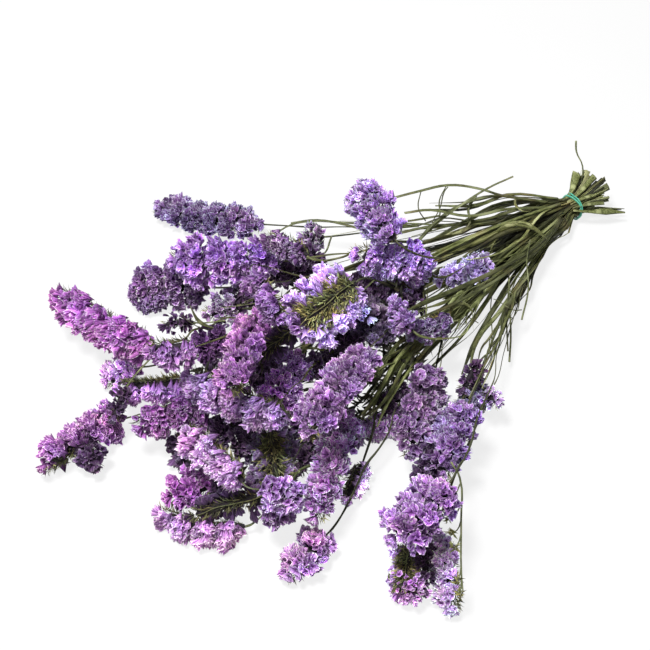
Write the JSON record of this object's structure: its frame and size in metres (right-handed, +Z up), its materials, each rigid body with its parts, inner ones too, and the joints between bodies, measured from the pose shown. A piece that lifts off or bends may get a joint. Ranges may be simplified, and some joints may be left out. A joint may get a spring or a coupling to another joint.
{
  "type": "bunch of dried statice",
  "caption": "Tied bunch of dried statice lying down: forked winged stems spreading from a rubber band into one-sided spikes of papery purple flowers.",
  "frame": {"origin": "middle of the bunch's bounding box in plan, on the surface it rests on", "axes": "+Z up, +X along the bunch from its flower heads to its cut stem ends, +Y across it"},
  "size_m": [0.6338, 0.5338, 0.1502],
  "materials": {
    "flowers_dusky": "matte",
    "flowers_mauve": "matte",
    "flowers_lilac": "matte",
    "flowers_lavender": "matte",
    "flowers_violet": "matte",
    "flowers_magenta": "matte",
    "stem": "matte",
    "rubber_band": "satin"
  },
  "bodies": {
    "root": {"head_01a": "flowers_dusky", "head_01b": "flowers_mauve", "head_02a": "flowers_violet", "head_02b": "flowers_dusky", "head_03a": "flowers_dusky", "head_03b": "flowers_mauve", "head_04a": "flowers_magenta", "head_04b": "flowers_lilac", "head_05a": "flowers_violet", "head_05b": "flowers_lilac", "head_05c": "flowers_dusky", "head_06a": "flowers_dusky", "head_06b": "flowers_magenta", "head_07a": "flowers_lilac", "head_07b": "flowers_mauve", "head_08a": "flowers_lilac", "head_08b": "flowers_magenta", "head_08c": "flowers_lilac", "head_09a": "flowers_mauve", "head_09b": "flowers_dusky", "head_10a": "flowers_violet", "head_10b": "flowers_mauve", "head_11a": "flowers_lavender", "head_11b": "flowers_lavender", "head_12a": "flowers_violet", "head_12b": "flowers_violet", "head_13a": "flowers_mauve", "head_13b": "flowers_lilac", "head_14a": "flowers_magenta", "head_14b": "flowers_lilac", "head_14c": "flowers_lilac", "head_15a": "flowers_lilac", "head_15b": "flowers_mauve", "head_15c": "flowers_dusky", "head_15d": "flowers_lavender", "head_16a": "flowers_mauve", "head_16b": "flowers_violet", "head_16c": "flowers_dusky", "head_17a": "flowers_lavender", "head_17b": "flowers_mauve", "head_17c": "flowers_lilac", "stem_01": "stem", "stem_02": "stem", "stem_03": "stem", "stem_04": "stem", "stem_05": "stem", "stem_06": "stem", "stem_07": "stem", "stem_08": "stem", "stem_09": "stem", "stem_10": "stem", "stem_11": "stem", "stem_12": "stem", "stem_13": "stem", "stem_14": "stem", "stem_15": "stem", "stem_16": "stem", "stem_17": "stem", "rubber_band": "rubber_band"}
  },
  "joints": []
}
